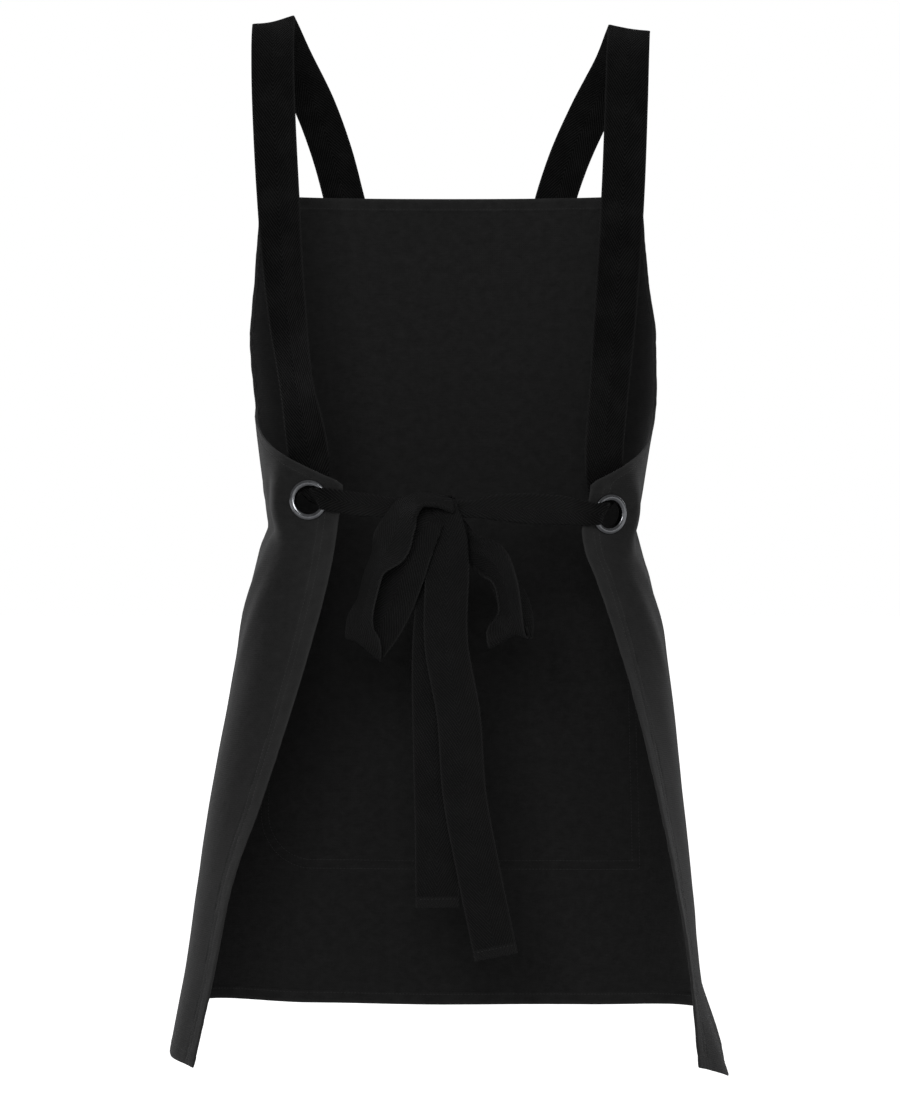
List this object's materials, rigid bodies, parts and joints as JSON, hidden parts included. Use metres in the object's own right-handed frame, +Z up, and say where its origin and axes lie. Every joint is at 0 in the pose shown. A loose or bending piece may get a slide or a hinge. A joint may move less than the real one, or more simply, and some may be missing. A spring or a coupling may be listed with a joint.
{
  "type": "cross back apron",
  "caption": "Canvas apron with a bib, skirt and side wings, a front patch pocket, and webbing straps that run over the shoulders, out through eyelets at the back, to a tied bow.",
  "frame": {"origin": "midway between the two straps where they pass over the wearer's shoulders, where the apron hangs", "axes": "+Z up, +Y the way the wearer faces, +X to the wearer's right"},
  "size_m": [0.5252, 0.3027, 1.0006],
  "materials": {
    "canvas": "washed black cotton canvas, plain weave, sewn with black thread",
    "webbing": "black herringbone cotton webbing",
    "eyelet_metal": "polished nickel-plated steel"
  },
  "bodies": {
    "root": {"apron_panel": "canvas", "pocket": "canvas", "strap_left": "webbing", "strap_right": "webbing", "bow_knot": "webbing", "bow_loop_left": "webbing", "bow_loop_right": "webbing", "bow_tail_left": "webbing", "bow_tail_right": "webbing", "eyelet_left": "eyelet_metal", "eyelet_right": "eyelet_metal", "eyelet_washer_left": "eyelet_metal", "eyelet_washer_right": "eyelet_metal"}
  },
  "joints": []
}
